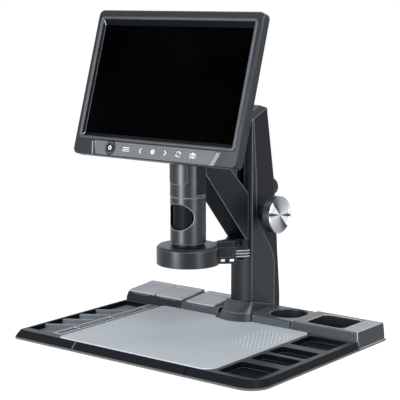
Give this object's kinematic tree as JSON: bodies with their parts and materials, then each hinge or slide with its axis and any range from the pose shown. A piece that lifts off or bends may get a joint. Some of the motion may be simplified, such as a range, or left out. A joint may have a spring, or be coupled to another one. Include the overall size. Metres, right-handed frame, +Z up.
{
  "type": "lcd digital microscope",
  "caption": "Digital microscope with tilting display, ring light and geared focusing column on a tray base with a work mat and lidded storage.",
  "frame": {"origin": "centre of the footprint on the table, under the middle of the whole part", "axes": "+X to the user's right, +Y to the back, +Z up; the display faces -Y and a little up"},
  "size_m": [0.366, 0.286, 0.3979],
  "materials": {
    "tray_plastic": "fine-grained charcoal moulding",
    "rack_plastic": "fine-grained mid-grey moulding",
    "box_plastic": "fine-grained dark grey moulding",
    "lid_plastic": "smooth light grey moulding",
    "inlay_plastic": "plain light grey plate",
    "cover_plastic": "plain warm grey moulding",
    "foot_rubber": "black rubber",
    "mat_rubber": "soft light grey heat-proof mat",
    "foot_plastic": "satin dark moulding",
    "column_metal": "satin grey paint",
    "column_metal_dark": "satin dark paint",
    "cap_metal": "satin grey paint",
    "inner_metal": "machined",
    "arm_metal": "satin dark paint",
    "arm_metal_dark": "satin black paint",
    "link_metal": "satin grey, finned",
    "barrel_metal": "satin black anodised",
    "barrel_cover": "satin dark grey",
    "neck_metal": "black anodised",
    "ring_metal": "knurled, black anodised",
    "knob_metal": "spun bright face",
    "steel": "bright steel",
    "brass": "machined brass",
    "ring_plastic": "satin dark grey moulding",
    "diffuser": "milky diffuser",
    "lamp_white": "white board with lamps",
    "key_plastic": "white key caps",
    "black_plastic": "black moulding",
    "screen_plastic": "satin dark moulding",
    "bezel_plastic": "dark inner frame",
    "panel_plastic": "fine brushed grey strip",
    "lcd_glass": "dark display that is switched off",
    "lens_glass": "coated lens",
    "circuit_board": "green circuit board"
  },
  "bodies": {
    "base": {"left_tray": "tray_plastic", "tray_dividers": "rack_plastic", "bit_rack": "rack_plastic", "centre_plate": "tray_plastic", "right_tray": "tray_plastic", "left_storage_box": "box_plastic", "centre_storage_box": "box_plastic", "right_storage_box": "box_plastic", "box_inlay": "inlay_plastic", "lid_hinge_pins": "steel", "left_bottom_cover": "cover_plastic", "centre_bottom_cover": "cover_plastic", "right_bottom_cover": "cover_plastic", "rubber_feet": "foot_rubber", "cover_screws": "steel", "work_mat": "mat_rubber", "column_foot": "foot_plastic", "column_post": "steel", "column_front_shell": "column_metal", "column_rear_shell": "column_metal_dark", "column_cap": "cap_metal", "guide_rails": "steel", "shaft_bushes": "brass", "column_screws": "steel"},
    "lid_1": {"storage_lid_1": "lid_plastic"},
    "lid_2": {"storage_lid_2": "lid_plastic"},
    "lid_3": {"storage_lid_3": "lid_plastic"},
    "focus_drive": {"pinion_shaft": "steel", "pinion_gear": "brass", "focus_knob_right": "knob_metal", "focus_knob_left": "knob_metal"},
    "lock_knob": {"rear_lock_knob": "black_plastic"},
    "head": {"carriage": "inner_metal", "focus_rack": "steel", "arm_strut": "arm_metal", "ribbed_link": "link_metal", "light_arm": "arm_metal_dark", "head_housing": "barrel_metal", "head_front_cover": "barrel_cover", "lower_sleeve": "barrel_metal", "lens_cell": "neck_metal", "objective_lens": "lens_glass", "sensor_board": "circuit_board", "ring_light_housing": "ring_plastic", "ring_diffuser": "diffuser", "lamp_board": "lamp_white", "light_control_box": "ring_plastic", "hinge_bracket": "barrel_metal", "hinge_pin": "steel"},
    "focus_grip": {"focus_ring": "ring_metal"},
    "light_plus": {"light_up_key": "key_plastic"},
    "light_minus": {"light_down_key": "key_plastic"},
    "screen": {"screen_front_frame": "screen_plastic", "display_bezel": "bezel_plastic", "lcd_panel": "lcd_glass", "control_panel": "panel_plastic", "screen_rear_cover": "screen_plastic", "main_board": "circuit_board", "screen_screws": "steel"},
    "power": {"power_key": "black_plastic"}
  },
  "joints": [
    {"name": "carriage_slide", "type": "slide", "parent": "base", "child": "head", "axis": [0, 0, 1], "range_m": [-0.02, 0.084]},
    {"name": "knob_spin", "type": "hinge", "parent": "base", "child": "focus_drive", "pos_m": [0, 0.1004, 0.1445], "axis": [1, 0, 0], "range_deg": [-805, 195]},
    {"name": "lock_knob_spin", "type": "hinge", "parent": "base", "child": "lock_knob", "pos_m": [0, 0.13, 0.172], "axis": [0, 1, 0], "range_deg": [-180, 180]},
    {"name": "lid_1_hinge", "type": "hinge", "parent": "base", "child": "lid_1", "pos_m": [-0.1561, 0.117, 0.0207], "axis": [-1, 0, 0], "range_deg": [0, 100]},
    {"name": "lid_2_hinge", "type": "hinge", "parent": "base", "child": "lid_2", "pos_m": [-0.1096, 0.117, 0.0207], "axis": [-1, 0, 0], "range_deg": [0, 100]},
    {"name": "lid_3_hinge", "type": "hinge", "parent": "base", "child": "lid_3", "pos_m": [-0.0578, 0.117, 0.02], "axis": [-1, 0, 0], "range_deg": [0, 100]},
    {"name": "focus_ring_spin", "type": "hinge", "parent": "head", "child": "focus_grip", "pos_m": [0, -0.028, 0.158], "axis": [0, 0, 1], "range_deg": [-150, 150]},
    {"name": "light_plus_press", "type": "slide", "parent": "head", "child": "light_plus", "axis": [-0.7071, 0.7071, 0], "range_m": [0, 0.0008], "stiffness_N_per_m": 800},
    {"name": "light_minus_press", "type": "slide", "parent": "head", "child": "light_minus", "axis": [-0.7071, 0.7071, 0], "range_m": [0, 0.0008], "stiffness_N_per_m": 800},
    {"name": "screen_tilt", "type": "hinge", "parent": "head", "child": "screen", "pos_m": [0, -0.05283, 0.27106], "axis": [-1, 0, 0], "range_deg": [-15, 25]},
    {"name": "power_press", "type": "slide", "parent": "screen", "child": "power", "axis": [0, 0.9542, -0.299], "range_m": [0, 0.0008], "stiffness_N_per_m": 800}
  ],
  "couplings": [
    {"joint": "knob_spin", "follows": "carriage_slide", "rad_per_m": -166.67}
  ]
}
